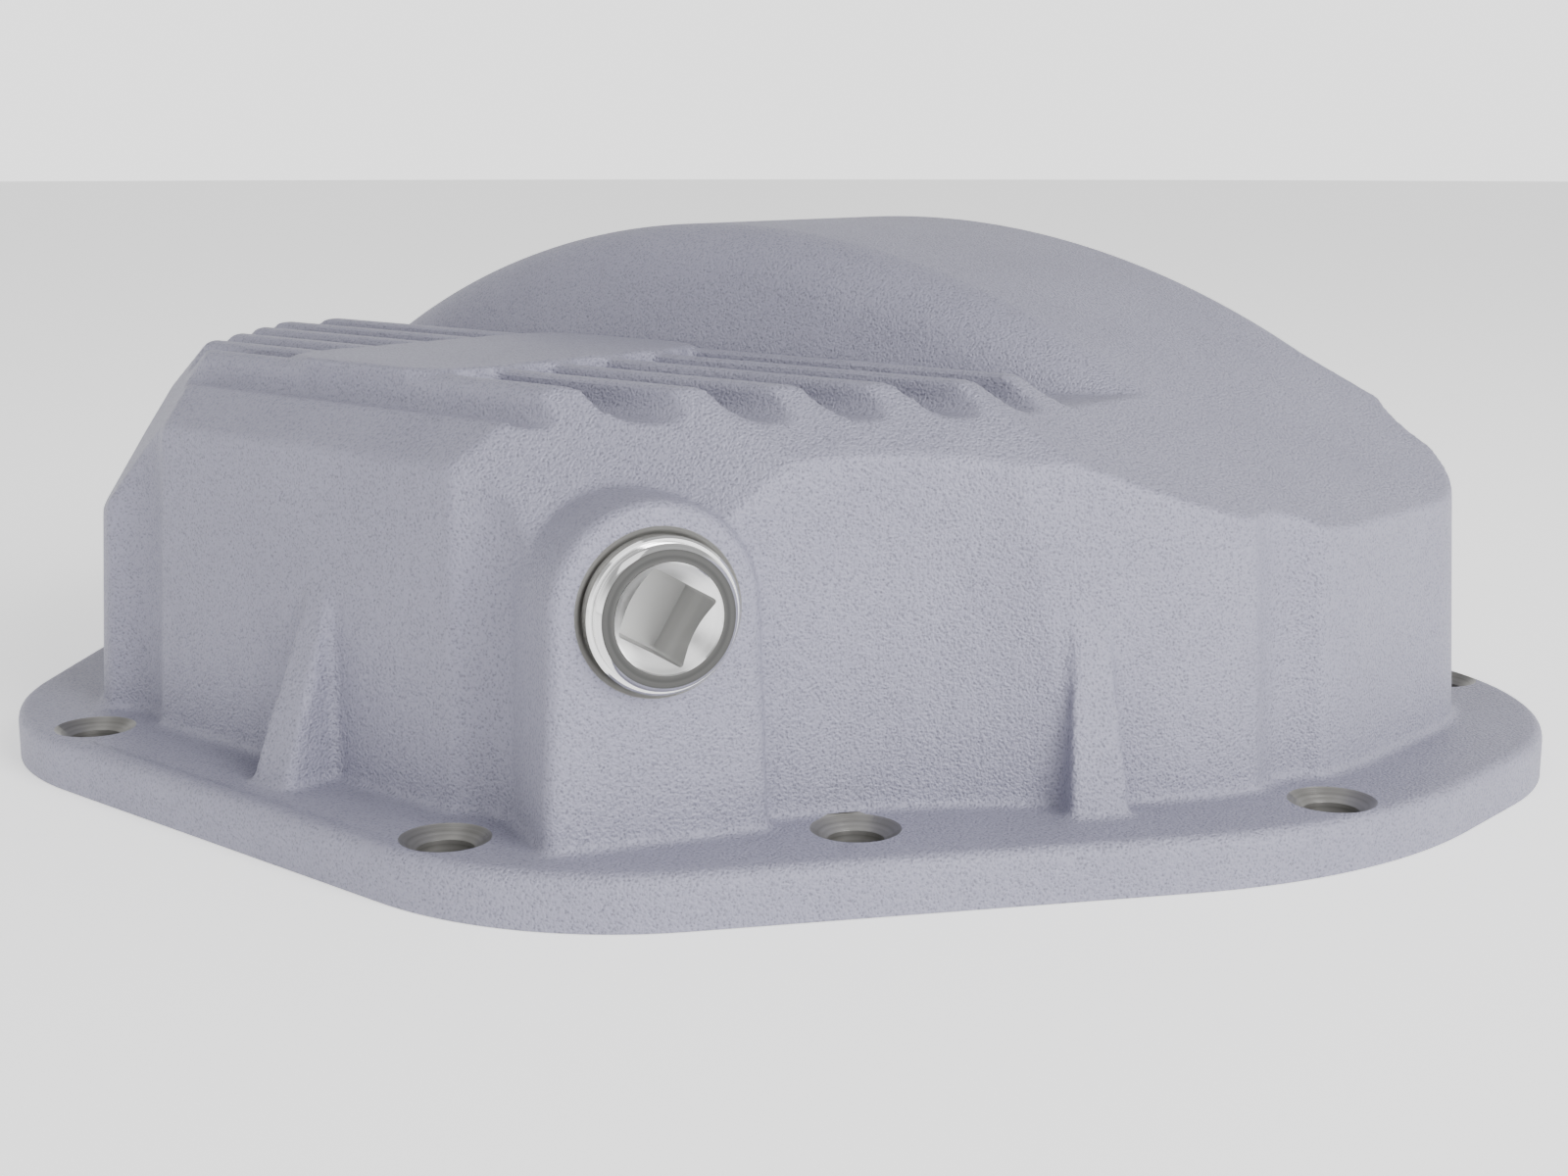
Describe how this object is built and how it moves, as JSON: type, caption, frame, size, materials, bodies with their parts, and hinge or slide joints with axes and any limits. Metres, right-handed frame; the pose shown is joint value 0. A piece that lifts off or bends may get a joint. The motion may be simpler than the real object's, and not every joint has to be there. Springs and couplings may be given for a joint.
{
  "type": "differential cover",
  "caption": "Finned cast axle differential cover with a rounded gear dome, a flat bolting flange, gusset ribs and a screw-in filler plug in a corner boss.",
  "frame": {"origin": "middle of the flat mating face, on the plane of that face", "axes": "+Z out of the mating face towards the dome, +X along the fins, the finned deck and the plug boss on the -Y side"},
  "size_m": [0.3448, 0.2838, 0.1086],
  "materials": {
    "cast_aluminium": "as cast, matte, with a fine pebbled grain",
    "polished_steel": "turned and polished",
    "black_rubber": "matte"
  },
  "bodies": {
    "root": {"cover_casting": "cast_aluminium", "fill_plug": "polished_steel", "plug_seal": "black_rubber"}
  },
  "joints": []
}
